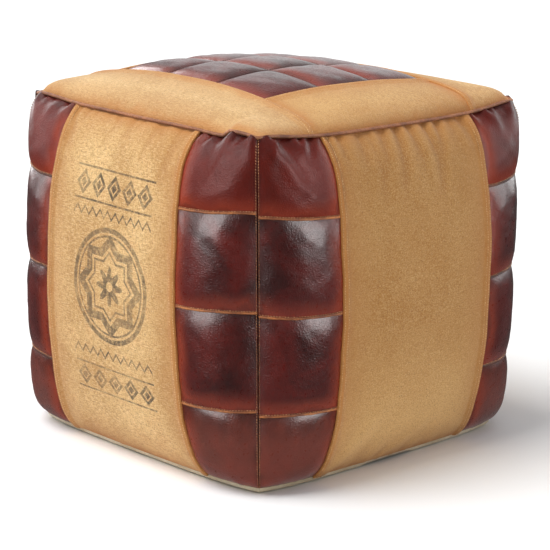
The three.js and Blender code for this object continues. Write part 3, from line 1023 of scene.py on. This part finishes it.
def inside(g, value, limit):
    """1 where value is under limit, with a soft edge."""
    return g.span(value, limit - INK_SOFTNESS, limit + INK_SOFTNESS, 1.0, 0.0)


def outline(g, value, limit, width):
    """1 along the line where value is limit."""
    return inside(g, g.math("ABSOLUTE", g.math("SUBTRACT", value, limit)), width / 2)


def medallion(g, x, y):
    """A star of two squares in a double ring, with a rosette in its middle."""
    radius = MEDALLION["radius"]
    flat_x, flat_y = g.math("ABSOLUTE", x), g.math("ABSOLUTE", y)
    square = g.math("MAXIMUM", flat_x, flat_y)
    diamond = g.math("MULTIPLY", g.math("ADD", flat_x, flat_y), math.sqrt(0.5))
    star = g.math("MINIMUM", square, diamond)
    away = g.math("SQRT", g.math("ADD", g.math("MULTIPLY", x, x), g.math("MULTIPLY", y, y)))
    petals = g.math("COSINE", g.math("MULTIPLY", g.math("ARCTAN2", y, x), 8))
    rosette = g.math("SUBTRACT", away, g.math("MULTIPLY", petals, radius * 0.09))
    shapes = [
        outline(g, away, radius, radius * 0.09),
        outline(g, away, radius * 0.89, radius * 0.04),
        outline(g, star, radius * 0.58, radius * 0.15),
        outline(g, star, radius * 0.43, radius * 0.04),
        inside(g, rosette, radius * 0.28),
    ]
    return g.math("SUBTRACT", union(g, shapes), inside(g, away, radius * 0.09), clamp=True)


def repeat(g, x, pitch):
    """Distance from the middle of the nearest of a row of cells."""
    return g.math("ABSOLUTE", g.math("WRAP", x, pitch / 2, -pitch / 2))


def within_band(g, shape, x):
    """A shape of ink, cut off at the ends of the bands."""
    return g.math("MULTIPLY", shape, inside(g, g.math("ABSOLUTE", x), BAND_REACH))


def zigzag(g, x, y, centre, half):
    """A zigzag line across the panel."""
    slope = 4 * half / ZIGZAG_PITCH
    wave = g.math("MULTIPLY_ADD", repeat(g, x, ZIGZAG_PITCH), slope, centre - half)
    return within_band(g, outline(g, g.math("SUBTRACT", y, wave), 0.0, half * 0.75), x)


def lozenges(g, x, y, centre, half):
    """A band of lozenges between two rules."""
    pitch = LOZENGE_PITCH
    rise = g.math("ABSOLUTE", g.math("SUBTRACT", y, centre))
    lozenge = g.math("ADD", repeat(g, x, pitch), g.math("MULTIPLY", rise, pitch / (2 * half)))
    ring = outline(g, lozenge, pitch * 0.23, pitch * 0.09)
    shape = g.math("SUBTRACT", inside(g, lozenge, pitch * 0.46), ring)
    rules = outline(g, rise, half * 1.16, half * 0.14)
    return within_band(g, g.math("MAXIMUM", shape, rules), x)


def plain_cloth(name, light, dark, weave):
    """A plain cloth or fibre with that many threads to the metre."""
    g = Graph(name)
    blotch = g.noise(30, detail=4)
    flecks = g.noise(420, detail=2)
    colour = g.layered(light, (blotch, 0.35, 0.65, 1.0, dark), (flecks, 0.4, 0.7, 0.4, dark))
    bumps = (g.noise(weave, detail=1), 0.0003, 0.5), (g.noise(34, detail=3, warp=0.7), 0.002, 0.3)
    return g.finish(colour, 0.95, *bumps, Sheen_Weight=0.2, Specular_IOR_Level=0.2)


def thread_material(name, light, dark):
    """Waxed thread, lighter and darker along each row."""
    g = Graph(name)
    colour = g.layered(light, (g.noise(260, detail=2), 0.35, 0.65, 1.0, dark))
    return g.finish(colour, 0.6, (g.noise(2400, detail=1), 0.0002, 0.5), Specular_IOR_Level=0.4)


def welt_material(name, light, dark):
    """The cut edge of leather at a seam, rubbed darker in places."""
    g = Graph(name)
    blotch = g.noise(50, detail=3)
    flecks = g.noise(420, detail=3)
    colour = g.layered(dark, (blotch, 0.3, 0.7, 1.0, light), (flecks, 0.45, 0.7, 0.5, dark))
    return g.finish(colour, 0.6, (g.noise(900, detail=3), 0.0004, 0.6), Specular_IOR_Level=0.35)


def piping_material():
    """Thin leather rolled round a cord."""
    g = Graph("piping_leather")
    blotch = g.noise(60, detail=4)
    flecks = g.noise(500, detail=3)
    layers = (blotch, 0.3, 0.7, 1.0, rgb(168, 106, 64)), (flecks, 0.4, 0.7, 0.5, rgb(92, 50, 30))
    colour = g.layered(rgb(120, 68, 38), *layers)
    return g.finish(colour, 0.6, (g.noise(700, detail=2), 0.0005, 0.6), Specular_IOR_Level=0.35)


def brass_material():
    """Antique brass, tarnished in blotches."""
    g = Graph("antique_brass")
    colour = g.layered(rgb(186, 150, 92), (g.noise(180, detail=4), 0.4, 0.65, 1.0, rgb(104, 78, 46)))
    roughness = g.span(g.noise(600, detail=3), 0.3, 0.7, 0.28, 0.5)
    return g.finish(colour, roughness, (g.noise(900, detail=2), 0.0001, 0.5), Metallic=1.0)


def coil_material():
    """The tan nylon of a zip's coil."""
    g = Graph("nylon_coil")
    colour = g.layered(rgb(120, 88, 58), (g.noise(400, detail=2), 0.4, 0.6, 1.0, rgb(92, 64, 40)))
    return g.finish(colour, 0.45, (g.noise(1500, detail=1), 0.0001, 0.4))


def floor_material():
    """The plain pale floor."""
    g = Graph("pale_floor")
    colour = g.layered(rgb(246, 246, 246), (g.noise(2, detail=2), 0.3, 0.7, 1.0, rgb(250, 250, 250)))
    return g.finish(colour, 0.9, Specular_IOR_Level=0.0)


# ---- Cover ----
def cover_cuts():
    """Every cut piece of the sides and the top."""
    rows = range(len(ROWS) - 1)
    cuts = [tile_cut(face, side, row) for face in range(4) for side in (-1, 1) for row in rows]
    cuts += [patch_cut(row, column) for row in range(TOP_TILES) for column in range(TOP_TILES)]
    cuts += [panel_cut(face) for face in range(4)]
    cuts += [strip_cut(where) for where in STRIPS]
    return cuts


def add_cover(cuts):
    """The finished piece of every cut."""
    materials = {
        "leather": leather_material("waxed_leather", polish=0.30, coat=0.4),
        "dull leather": leather_material("worn_leather", polish=0.13, coat=0.05, rough=0.34, rust=0.3),
        "canvas": canvas_material(),
        "printed canvas": canvas_material("printed_canvas", ornament=True),
    }
    for cut in cuts:
        dressed(cut, materials[cut.finish or cut.kind])


def add_seams(cuts):
    """Welts under the side tiles, and every row of stitches."""
    by_name = {cut.name: cut for cut in cuts}
    tan = thread_material("tan_thread", rgb(200, 140, 92), rgb(138, 82, 46))
    pale = thread_material("pale_thread", rgb(226, 188, 132), rgb(186, 140, 84))
    dark = thread_material("dark_thread", rgb(92, 40, 24), rgb(52, 20, 14))
    tan_welt = welt_material("tan_leather_edge", rgb(194, 118, 56), rgb(122, 62, 28))
    dark_welt = welt_material("dark_leather_edge", rgb(124, 66, 36), rgb(62, 28, 16))
    for face, face_name in enumerate(FACES):
        for side, side_name in ((-1, "left"), (1, "right")):
            column = f"{face_name}_{side_name}"
            tiles = [by_name[f"{column}_tile_{n}"] for n in range(1, len(ROWS))]
            tan_corner = (face + (side > 0)) % 2
            add_column_seams(column, side, tiles, tan_welt if tan_corner else dark_welt, tan)
        panel = by_name[f"{face_name}_canvas_panel"]
        trim_piece(f"{face_name}_hem_stitches", stitches(hem_lines(panel), *HEM_STITCH), pale)
    rows = [line for where in STRIPS for line in hem_lines(by_name[f"top_strip_{where}"])]
    trim_piece("top_hem_stitches", stitches(rows, *HEM_STITCH), pale)
    tiles = [cut for cut in cuts if cut.name.startswith("top_tile")]
    trim_piece("top_quilting", stitches(quilt_lines(tiles), *QUILT_STITCH), dark)


def add_column_seams(column, side, tiles, welt, thread):
    """The welts and stitches of one column of side tiles, given from the top down."""
    upper = tiles[:-1]
    seams = [line_on(tile.grid, ALONG, 0.0) for tile in upper]
    made = joined([swept(line.evenly(0.003, 0.0006), WELT_SECTION) for line in seams])
    trim_piece(f"{column}_welts", made, welt)
    rows = []
    for tile in upper:
        height = mean_size(tile.grid)[1]
        rows.append(line_on(tile.grid, ALONG, STITCH_MARGIN * 0.62 / height).lifted(0.0001))
    trim_piece(f"{column}_tile_stitches", stitches(rows, *TILE_STITCH), thread)
    rows = []
    for tile in tiles:
        at = CORNER_ROW / mean_size(tile.grid)[0]
        rows.append(line_on(tile.grid, 1 - at if side > 0 else at, ALONG))
    made = stitches(rows, *CORNER_STITCH, slant=0.35 * side)
    trim_piece(f"{column}_corner_stitches", made, thread)


def quilt_lines(tiles):
    """The rows of stitches beside the seams between the tiles of the top patch."""
    lines = []
    for tile in tiles:
        at = 1 - QUILT_ROW / mean_size(tile.grid)[0]
        if not tile.name.endswith(f"_{TOP_TILES}"):
            lines.append(line_on(tile.grid, at, ALONG))
        if not tile.name.startswith(f"top_tile_{TOP_TILES}"):
            lines.append(line_on(tile.grid, ALONG, at))
    return lines


def hem_lines(cut):
    """The lines of topstitching along a cut's hems."""
    away = distances(cut.grid)
    along = np.linspace(0, 1, 90)
    lines = []
    for hem in cut.hems:
        across = away["u0"][:, -1] if hem[0] == "u" else away["w0"][-1]
        size = np.interp(along, np.linspace(0, 1, len(across)), across)
        for row in HEM_ROWS:
            at = row / size if hem[1] == "0" else 1 - row / size
            line = line_on(cut.grid, at, along) if hem[0] == "u" else line_on(cut.grid, along, at)
            lines.append(line.lifted(float(hem_height(np.array(row))) + 0.0001))
    return lines


def piping_line():
    """The middle of the piping, once round just outside the top seam."""
    points, outs, sharp = [], [], []
    for turn in np.linspace(0, 4, 4 * 90, endpoint=False):
        face, s = int(turn), (turn % 1) * 2 - 1
        seam = side_points(face, s, 1.0)
        angle = face * math.pi / 2
        square = np.array([math.sin(angle), -math.cos(angle), 0])
        diagonal = seam * (1, 1, 0) / np.linalg.norm(seam[:2])
        outward = unit(square + (diagonal - square) * abs(s) ** 4)
        rise = PIPING_RISE * (1 - 1.6 * abs(s) ** 10)
        away = outward * math.cos(rise) + np.array([0, 0, math.sin(rise)])
        points.append(seam + away * (PIPING_OUT + wobble(turn * 0.37, 2, 0.0003)))
        outs.append(away)
        sharp.append(0.3 * abs(s) ** 12)
    points, sharp = np.array(points), np.array(sharp)[:, None]
    rounded = (np.roll(points, 1, axis=0) + points + np.roll(points, -1, axis=0)) / 3
    return Line(points + (rounded - points) * sharp, np.array(outs))


def add_piping():
    """The piping, round and without an end."""
    made = swept(piping_line(), circle(PIPING_RADIUS, 12), closed=True)
    piece = mesh_piece("top_piping_cord", *made, piping_material())
    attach(piece, "cover")
    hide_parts("top_piping")


def base_points(a, b):
    """Points of the base over the square -1..1, with the shallow valley that the zip lies in."""
    a, b = np.broadcast_arrays(np.asarray(a, float), np.asarray(b, float))
    bottom = np.zeros_like(a)
    x, y = plan(a, b, bottom), plan(b, a, bottom)
    out = np.clip((np.maximum(abs(a), abs(b)) - BASE_ROLL) / (1 - BASE_ROLL), 0, 1)
    roll = 1 - np.sqrt(np.clip(1 - out**2, 0, 1))
    valley = 1 - smoothstep(abs(y), VALLEY["flat_to"], VALLEY["ends_at"])
    z = BASE_SEAM_Z * roll + VALLEY["depth"] * valley * (1 - smoothstep(out, 0, 1))
    return slumped(np.stack([x, y, z], axis=-1))


def slot_edge(x):
    """How far the calico stays from the middle line: clear of the coil, and closed past its ends."""
    return 0.0005 + (SLOT_HALF - 0.0005) * (1 - smoothstep(abs(x), ZIP_HALF, ZIP_HALF + SLOT_END))


def add_base():
    """The two calico halves of the base, with creases that run in from their seams."""
    calico = plain_cloth("base_calico", rgb(238, 226, 200), rgb(212, 196, 164), weave=1100)
    half = CORNER["base"]
    for name, side in (("front", -1), ("rear", 1)):
        by_seam = np.array([0.972, 0.985, 0.995])
        us = np.sort(np.concatenate([np.linspace(-1, 1, 90), -by_seam, by_seam]))
        ws = np.concatenate([np.linspace(0, 0.955, 40), [0.966, 0.974, 0.981, 0.987, 0.992, 0.996, 1.0]])
        a, share = unit_grid(us, ws)
        inner = slot_edge(a * half) / half
        b = side * (inner + (1 - inner) * share)
        points = base_points(a, b)
        if side < 0:
            points = points[:, ::-1]
            a, b = a[:, ::-1], b[:, ::-1]
        inland = np.clip((1 - np.maximum(abs(a), abs(b))) / 0.1, 0, 1)
        crease = np.clip(lumps(points * (1, 1, 0), 0.0009), 0, None) * inland
        points[..., 2] += crease
        edge = half * (1 - np.maximum(abs(a), abs(b)))
        piece = underside_piece(f"base_{name}_calico", points, calico, edge)
        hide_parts(f"base_panel_{name}")


def underside_piece(name, points, material, edge):
    """A grid that faces down, as a piece of the cover."""
    faces = [f[::-1] for f in grid_faces(*points.shape[:2])]
    piece = mesh_piece(name, points.reshape(-1, 3), faces, material)
    add_mark(piece, "edge", edge)
    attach(piece, "cover")
    return piece


def add_inside():
    """The liner bag, and the filling in it."""
    liner = plain_cloth("liner_calico", rgb(232, 220, 192), rgb(206, 190, 158), weave=900)
    fibre = plain_cloth("cotton_filling", rgb(226, 218, 200), rgb(190, 180, 160), weave=300)
    body = mesh_piece("cotton_filling_body", *shell(FILLING_INSET), fibre)
    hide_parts("filling")
    outer, (inner, inner_faces) = (shell(inset) for inset in LINER_INSETS)
    wall = joined([outer, (inner, [f[::-1] for f in inner_faces])])
    bag = mesh_piece("inner_liner_bag", *wall, liner)
    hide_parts("inner_liner")
    for piece in (body, bag):
        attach(piece, "cover")


def shell(inset):
    """Points and faces of the cover's shape, drawn in by inset on all sides and closed."""
    line = np.linspace(-1, 1, 33)
    s, t = unit_grid(line, line)
    patches = [side_points(face, s, (t + 1) / 2) for face in range(4)]
    patches += [top_points(s, t), base_points(s, t)[:, ::-1]]
    middle = np.array(BODY_MIDDLE)
    points = np.concatenate([p.reshape(-1, 3) for p in patches])
    points = middle + (points - middle) * (1 - inset / BODY_REACH)
    size = line.size**2
    faces = [f for k in range(len(patches)) for f in grid_faces(line.size, line.size, k * size)]
    _, first, same = np.unique(points.round(5), axis=0, return_index=True, return_inverse=True)
    same = same.ravel()
    faces = [tuple(dict.fromkeys(int(same[i]) for i in f)) for f in faces]
    return points[first], [f for f in faces if len(f) > 2]


def add_zip():
    """The zip's coils as loops, and finer looks for its CAD tapes, slider and pull."""
    coil = coil_material()
    count = round(2 * ZIP_HALF / COIL_PITCH)
    wire = circle(COIL_WIRE, 3, start=0.5)
    for name, side in (("front", -1), ("rear", 1)):
        loops = []
        for k in range(count):
            x = -ZIP_HALF + (k + 0.5 + 0.25 * side) * COIL_PITCH
            path = [(x + 0.0005 * (j / 5 - 0.5), side * y, z) for j, (y, z) in enumerate(COIL_LOOP)]
            loops.append(swept(Line(np.array(path), np.tile([1.0, 0, 0], (len(path), 1))), wire))
        piece = mesh_piece(f"zip_coil_loops_{name}", *joined(loops), coil)
        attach(piece, "cover")
        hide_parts(f"zip_coil_{name}")
    tape = plain_cloth("zip_tape_weave", rgb(206, 186, 150), rgb(176, 152, 116), weave=1400)
    brass = brass_material()
    dress_node("zip_tape_front", tape)
    dress_node("zip_tape_rear", tape)
    dress_node("zip_slider", brass, bevel=0.0006)
    dress_node("zip_pull", brass, bevel=0.0005)


def dress_node(name, material, bevel=0.0):
    """Gives a CAD node its material, and softens its edges."""
    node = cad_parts[name]
    node.data.materials.clear()
    node.data.materials.append(material)
    if bevel:
        rounding = node.modifiers.new("edges", "BEVEL")
        rounding.width = bevel
        rounding.segments = 3
        rounding.limit_method = "ANGLE"


# ---- Stage ----
def toward(azimuth, elevation=0.0):
    """The direction that many degrees from the front towards the right, and above the floor."""
    azimuth, elevation = math.radians(azimuth), math.radians(elevation)
    level = math.cos(elevation)
    return Vector((math.sin(azimuth) * level, -math.cos(azimuth) * level, math.sin(elevation)))


def add_camera():
    """The camera at the view solved from the seams."""
    back = toward(CAMERA["azimuth"], CAMERA["elevation"])
    data = bpy.data.cameras.new("camera")
    data.lens = CAMERA_LENS
    data.clip_end = 60
    camera = bpy.data.objects.new("camera", data)
    target = Vector((0, 0, CAMERA_TARGET["height"])) + toward(CAMERA["azimuth"] + 90) * CAMERA_TARGET["right"]
    camera.location = target + back * CAMERA["distance"]
    turn = (-back).to_track_quat("-Z", "Y").to_matrix().to_4x4()
    roll = Matrix.Rotation(math.radians(CAMERA["roll"]), 4, Vector((0, 0, 1)))
    camera.rotation_euler = (turn @ roll).to_euler()
    bpy.context.scene.collection.objects.link(camera)
    bpy.context.scene.camera = camera


def add_light(name, kind, direction, energy):
    """A light that shines from a direction, its upright side kept upright."""
    data = bpy.data.lights.new(name, kind)
    data.energy = energy
    light = bpy.data.objects.new(name, data)
    light.rotation_euler = Vector(direction).to_track_quat("Z", "Y").to_euler()
    bpy.context.scene.collection.objects.link(light)
    return light


def add_softbox(name, direction, radiance):
    """A panel that only shows as a reflection in what is glossy."""
    width, height = SOFTBOX_SIZE
    light = add_light(name, "AREA", direction, radiance * math.pi * width * height)
    light.data.shape = "RECTANGLE"
    light.data.size, light.data.size_y = width, height
    light.location = direction.normalized() * SOFTBOX_AWAY + Vector(BODY_MIDDLE)
    light.visible_diffuse = False


def add_sky(horizon, zenith, floor_glow):
    """A plain white room, brighter overhead, with the pale floor's glow below the horizon."""
    g = Graph("studio", "worlds", "Background")
    height = g.node("ShaderNodeSeparateXYZ", {"Vector": g.places["Generated"]}).outputs["Z"]
    room = {"Value": height, "From Min": -0.15, "To Min": horizon, "To Max": zenith}
    glow = {"Value": height, "From Min": -0.15, "From Max": -0.6, "To Max": floor_glow}
    parts = [g.node("ShaderNodeMapRange", inputs).outputs["Result"] for inputs in (room, glow)]
    g.set(g.shader.inputs["Strength"], g.math("ADD", *parts))
    g.set(g.shader.inputs["Color"], (1, 1, 1))
    bpy.context.scene.world = g.owner


def add_stage():
    """The floor and the light."""
    corners = [(x * FLOOR_HALF, y * FLOOR_HALF, -0.0005) for x, y in ((-1, -1), (1, -1), (1, 1), (-1, 1))]
    floor = mesh_piece("floor", corners, [(0, 1, 2, 3)], floor_material())
    floor.visible_glossy = False
    add_light("key", "SUN", (-0.28, -0.42, 0.87), 2.8).data.angle = math.radians(45)
    add_light("fill", "SUN", (0.8, 0.35, 0.5), 0.2).data.angle = math.radians(60)
    for turn, radiance in SOFTBOXES:
        add_softbox(f"softbox_{turn}", toward(turn) + Vector((0, 0, SOFTBOX_RISE)), radiance)
    add_sky(horizon=0.04, zenith=0.7, floor_glow=0.2)
    bpy.context.scene.view_settings.view_transform = "Standard"


add_camera()
cover = cover_cuts()
inflate(cover)
add_cover(cover)
add_seams(cover)
add_piping()
add_base()
add_inside()
add_zip()
add_stage()
